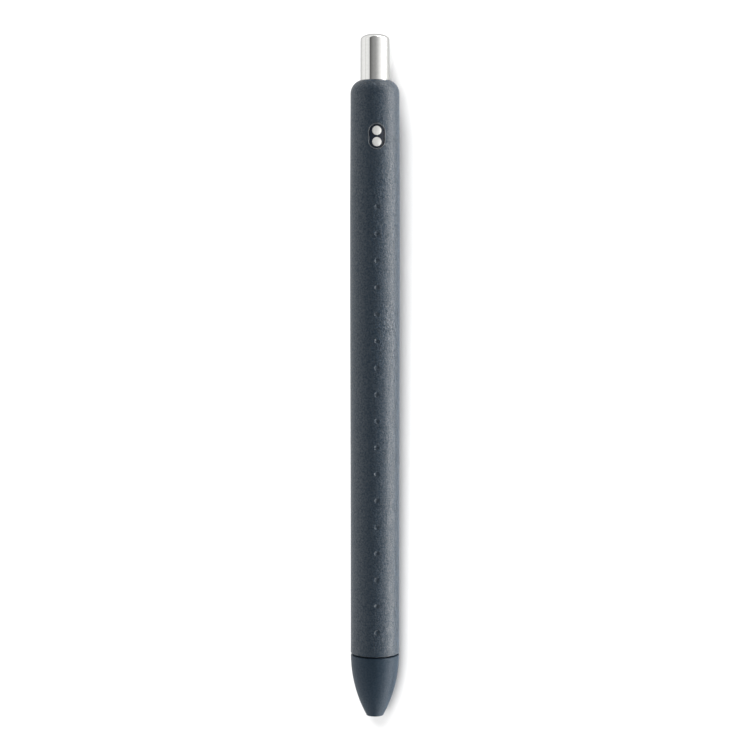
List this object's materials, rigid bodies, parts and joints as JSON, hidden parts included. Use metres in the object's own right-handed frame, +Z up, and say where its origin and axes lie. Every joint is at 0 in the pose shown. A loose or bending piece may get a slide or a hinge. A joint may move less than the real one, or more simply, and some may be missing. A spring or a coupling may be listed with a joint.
{
  "type": "gel pen",
  "caption": "Retractable gel pen: soft-touch barrel with a row of pits and a badge, ogive screw nose, polished push button, sprung clip, cam and refill",
  "frame": {"origin": "middle of the base: on the surface the pen lies on, under the middle of its length", "axes": "+Z up, +Y toward the push button, +X to the right seen from above with the button away from the viewer; the badge faces up and the clip is underneath"},
  "size_m": [0.0104, 0.143, 0.0137],
  "materials": {
    "soft_touch": "matt soft-touch skin, dark slate, fine grain",
    "nose_plastic": "satin, dark slate",
    "dark_plastic": "satin, near black",
    "natural_plastic": "natural acetal, satin",
    "rotor_plastic": "grey acetal, satin",
    "badge_rim": "satin, a shade lighter than the barrel",
    "badge_gloss": "gloss, near black navy",
    "badge_pearl": "satin silver print",
    "chrome": "polished chrome plate",
    "clear_plastic": "translucent refill tube",
    "gel_ink": "black gel ink",
    "follower_grease": "clear amber grease",
    "tip_metal": "turned nickel silver",
    "ball_metal": "ground hard metal",
    "spring_steel": "drawn spring wire"
  },
  "bodies": {
    "barrel": {"barrel_tube": "dark_plastic", "barrel_sleeve": "soft_touch", "end_bushing": "dark_plastic", "cam_guide": "natural_plastic", "badge_rim": "badge_rim", "badge_plate": "badge_gloss", "badge_dot_front": "badge_pearl", "badge_dot_back": "badge_pearl", "clip_anchor": "dark_plastic"},
    "clip": {"clip": "chrome"},
    "button": {"push_button": "chrome", "plunger": "natural_plastic"},
    "refill": {"refill_tube": "clear_plastic", "ink_column": "gel_ink", "gel_follower": "follower_grease", "tail_plug": "dark_plastic", "tip_holder": "natural_plastic", "tip_cone": "tip_metal"},
    "rotor": {"rotor": "rotor_plastic"},
    "ball": {"writing_ball": "ball_metal"},
    "spring": {"return_spring": "spring_steel"},
    "nose": {"nose_cone": "nose_plastic"}
  },
  "joints": [
    {"name": "button_press", "type": "slide", "parent": "barrel", "child": "button", "axis": [0, -0.9996, -0.0297], "range_m": [0, 0.0059], "stiffness_N_per_m": 250, "springref_m": -0.006},
    {"name": "refill_slide", "type": "slide", "parent": "barrel", "child": "refill", "axis": [0, -0.9996, -0.0297], "range_m": [0, 0.0059], "deforming": ["return_spring"]},
    {"name": "rotor_turn", "type": "hinge", "parent": "refill", "child": "rotor", "pos_m": [0, 0.04048, 0.00806], "axis": [0, -0.9996, -0.0297], "range_deg": [0, 22.5]},
    {"name": "ball_roll", "type": "hinge", "parent": "refill", "child": "ball", "pos_m": [0, -0.06942, 0.0048], "axis": [1, 0, 0], "continuous": true},
    {"name": "clip_flex", "type": "hinge", "parent": "barrel", "child": "clip", "pos_m": [0, 0.05652, 0.00035], "axis": [1, 0, 0], "range_deg": [0, 5], "stiffness_Nm_per_rad": 2, "springref_deg": -1.15},
    {"name": "nose_slide", "type": "slide", "parent": "barrel", "child": "spring", "axis": [0, -0.9996, -0.0297], "range_m": [0, 0.0048]},
    {"name": "nose_turn", "type": "hinge", "parent": "spring", "child": "nose", "pos_m": [0, -0.06547, 0.00492], "axis": [0, -0.9996, -0.0297], "range_deg": [0, 1440]}
  ],
  "couplings": [
    {"joint": "refill_slide", "follows": "button_press", "ratio": 1},
    {"joint": "rotor_turn", "follows": "button_press", "rad_per_m": 66.5},
    {"joint": "nose_turn", "follows": "nose_slide", "rad_per_m": 5236}
  ]
}
